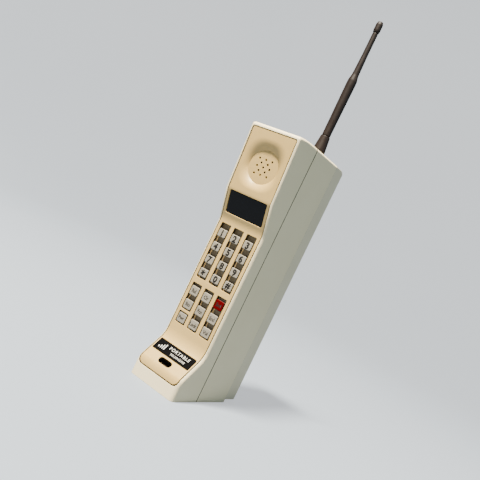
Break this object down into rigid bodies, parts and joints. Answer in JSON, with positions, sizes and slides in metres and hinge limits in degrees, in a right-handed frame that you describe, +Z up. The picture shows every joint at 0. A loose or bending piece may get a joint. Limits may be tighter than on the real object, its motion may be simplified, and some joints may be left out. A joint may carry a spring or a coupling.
{
  "type": "early mobile brick phone",
  "caption": "Tall cream handheld cellular phone with a beige front panel, keypad, dark display, clip-on battery pack and whip antenna.",
  "frame": {"origin": "centre of the bounding box's base, on the flat foot of the case", "axes": "+Z up along the body and antenna, -Y out of the keypad, +X to the right seen from the keypad side"},
  "size_m": [0.0446, 0.089, 0.323],
  "materials": {
    "housing_cream": "fine textured cream moulding",
    "panel_beige": "smooth beige moulding",
    "key_grey": "satin light grey key cap with a dark printed legend",
    "key_red": "satin dark red key cap",
    "display_window": "clear dark filter window",
    "display_red": "dark red digit block",
    "nameplate_black": "black printed plate",
    "rubber_black": "matt black elastomer",
    "circuit_board": "green solder mask over glass epoxy",
    "tinned_can": "tin plated steel sheet",
    "silvered_ceramic": "silvered ceramic block",
    "capsule_metal": "dull grey capsule shell",
    "cell_sleeve": "shrink sleeve",
    "gold_contact": "gold plated spring metal",
    "zinc_steel": "zinc plated steel",
    "antenna_rubber": "dark brown-grey flexible sheath"
  },
  "bodies": {
    "phone": {"front_housing": "housing_cream", "rear_housing": "housing_cream", "front_panel": "panel_beige", "display_lens": "display_window", "display_module": "display_red", "nameplate": "nameplate_black", "keypad_mat": "rubber_black", "microphone_boot": "rubber_black", "earpiece_gasket": "rubber_black", "keypad_board": "circuit_board", "logic_board": "circuit_board", "radio_board": "circuit_board", "rf_shield": "tinned_can", "duplexer": "silvered_ceramic", "earpiece_receiver": "capsule_metal", "microphone": "capsule_metal", "ringer": "capsule_metal", "battery_contact_1": "gold_contact", "battery_contact_2": "gold_contact", "case_screw_1": "zinc_steel", "case_screw_2": "zinc_steel", "case_screw_3": "zinc_steel", "case_screw_4": "zinc_steel", "antenna_socket": "zinc_steel"},
    "key_1_body": {"key_1": "key_grey"},
    "key_2_body": {"key_2": "key_grey"},
    "key_3_body": {"key_3": "key_grey"},
    "key_4_body": {"key_4": "key_grey"},
    "key_5_body": {"key_5": "key_grey"},
    "key_6_body": {"key_6": "key_grey"},
    "key_7_body": {"key_7": "key_grey"},
    "key_8_body": {"key_8": "key_grey"},
    "key_9_body": {"key_9": "key_grey"},
    "key_star_body": {"key_star": "key_grey"},
    "key_0_body": {"key_0": "key_grey"},
    "key_hash_body": {"key_hash": "key_grey"},
    "key_recall_body": {"key_recall": "key_grey"},
    "key_clear_body": {"key_clear": "key_grey"},
    "key_send_body": {"key_send": "key_red"},
    "key_store_body": {"key_store": "key_grey"},
    "key_function_body": {"key_function": "key_grey"},
    "key_end_body": {"key_end": "key_grey"},
    "key_power_body": {"key_power": "key_grey"},
    "key_lock_body": {"key_lock": "key_grey"},
    "key_volume_body": {"key_volume": "key_grey"},
    "battery_pack": {"battery_case": "housing_cream", "battery_lid": "housing_cream", "battery_cell_1": "cell_sleeve", "battery_cell_2": "cell_sleeve", "battery_cell_3": "cell_sleeve", "battery_cell_4": "cell_sleeve", "battery_cell_5": "cell_sleeve", "battery_cell_6": "cell_sleeve", "battery_terminal_1": "gold_contact", "battery_terminal_2": "gold_contact"},
    "pack_latch": {"battery_latch": "housing_cream"},
    "antenna_seal_body": {"antenna_seal": "rubber_black"},
    "antenna": {"antenna_base": "antenna_rubber", "antenna_whip": "antenna_rubber", "antenna_tip": "antenna_rubber"}
  },
  "joints": [
    {"name": "key_1_press", "type": "slide", "parent": "phone", "child": "key_1_body", "axis": [0, 1, 0], "range_m": [0, 0.001], "stiffness_N_per_m": 900, "springref_m": -0.0003},
    {"name": "key_2_press", "type": "slide", "parent": "phone", "child": "key_2_body", "axis": [0, 1, 0], "range_m": [0, 0.001], "stiffness_N_per_m": 900, "springref_m": -0.0003},
    {"name": "key_3_press", "type": "slide", "parent": "phone", "child": "key_3_body", "axis": [0, 1, 0], "range_m": [0, 0.001], "stiffness_N_per_m": 900, "springref_m": -0.0003},
    {"name": "key_4_press", "type": "slide", "parent": "phone", "child": "key_4_body", "axis": [0, 1, 0], "range_m": [0, 0.001], "stiffness_N_per_m": 900, "springref_m": -0.0003},
    {"name": "key_5_press", "type": "slide", "parent": "phone", "child": "key_5_body", "axis": [0, 1, 0], "range_m": [0, 0.001], "stiffness_N_per_m": 900, "springref_m": -0.0003},
    {"name": "key_6_press", "type": "slide", "parent": "phone", "child": "key_6_body", "axis": [0, 1, 0], "range_m": [0, 0.001], "stiffness_N_per_m": 900, "springref_m": -0.0003},
    {"name": "key_7_press", "type": "slide", "parent": "phone", "child": "key_7_body", "axis": [0, 1, 0], "range_m": [0, 0.001], "stiffness_N_per_m": 900, "springref_m": -0.0003},
    {"name": "key_8_press", "type": "slide", "parent": "phone", "child": "key_8_body", "axis": [0, 1, 0], "range_m": [0, 0.001], "stiffness_N_per_m": 900, "springref_m": -0.0003},
    {"name": "key_9_press", "type": "slide", "parent": "phone", "child": "key_9_body", "axis": [0, 1, 0], "range_m": [0, 0.001], "stiffness_N_per_m": 900, "springref_m": -0.0003},
    {"name": "key_star_press", "type": "slide", "parent": "phone", "child": "key_star_body", "axis": [0, 1, 0], "range_m": [0, 0.001], "stiffness_N_per_m": 900, "springref_m": -0.0003},
    {"name": "key_0_press", "type": "slide", "parent": "phone", "child": "key_0_body", "axis": [0, 1, 0], "range_m": [0, 0.001], "stiffness_N_per_m": 900, "springref_m": -0.0003},
    {"name": "key_hash_press", "type": "slide", "parent": "phone", "child": "key_hash_body", "axis": [0, 1, 0], "range_m": [0, 0.001], "stiffness_N_per_m": 900, "springref_m": -0.0003},
    {"name": "key_recall_press", "type": "slide", "parent": "phone", "child": "key_recall_body", "axis": [0, 1, 0], "range_m": [0, 0.001], "stiffness_N_per_m": 900, "springref_m": -0.0003},
    {"name": "key_clear_press", "type": "slide", "parent": "phone", "child": "key_clear_body", "axis": [0, 1, 0], "range_m": [0, 0.001], "stiffness_N_per_m": 900, "springref_m": -0.0003},
    {"name": "key_send_press", "type": "slide", "parent": "phone", "child": "key_send_body", "axis": [0, 1, 0], "range_m": [0, 0.001], "stiffness_N_per_m": 900, "springref_m": -0.0003},
    {"name": "key_store_press", "type": "slide", "parent": "phone", "child": "key_store_body", "axis": [0, 1, 0], "range_m": [0, 0.001], "stiffness_N_per_m": 900, "springref_m": -0.0003},
    {"name": "key_function_press", "type": "slide", "parent": "phone", "child": "key_function_body", "axis": [0, 1, 0], "range_m": [0, 0.001], "stiffness_N_per_m": 900, "springref_m": -0.0003},
    {"name": "key_end_press", "type": "slide", "parent": "phone", "child": "key_end_body", "axis": [0, 1, 0], "range_m": [0, 0.001], "stiffness_N_per_m": 900, "springref_m": -0.0003},
    {"name": "key_power_press", "type": "slide", "parent": "phone", "child": "key_power_body", "axis": [0, 1, 0], "range_m": [0, 0.001], "stiffness_N_per_m": 900, "springref_m": -0.0003},
    {"name": "key_lock_press", "type": "slide", "parent": "phone", "child": "key_lock_body", "axis": [0, 1, 0], "range_m": [0, 0.001], "stiffness_N_per_m": 900, "springref_m": -0.0003},
    {"name": "key_volume_press", "type": "slide", "parent": "phone", "child": "key_volume_body", "axis": [0, 1, 0], "range_m": [0, 0.001], "stiffness_N_per_m": 900, "springref_m": -0.0003},
    {"name": "pack_release", "type": "slide", "parent": "phone", "child": "battery_pack", "axis": [0, 1, 0], "range_m": [0, 0.04]},
    {"name": "latch_slide", "type": "slide", "parent": "battery_pack", "child": "pack_latch", "axis": [0, 0, -1], "range_m": [0, 0.003], "stiffness_N_per_m": 800, "springref_m": -0.001},
    {"name": "antenna_lift", "type": "slide", "parent": "phone", "child": "antenna_seal_body", "axis": [0, 0, 1], "range_m": [0, 0.003]},
    {"name": "antenna_turn", "type": "hinge", "parent": "antenna_seal_body", "child": "antenna", "pos_m": [0.0105, 0.0083, 0.209], "axis": [0, 0, 1], "range_deg": [0, 721]}
  ],
  "couplings": [
    {"joint": "antenna_turn", "follows": "antenna_lift", "rad_per_m": 4188.8}
  ]
}
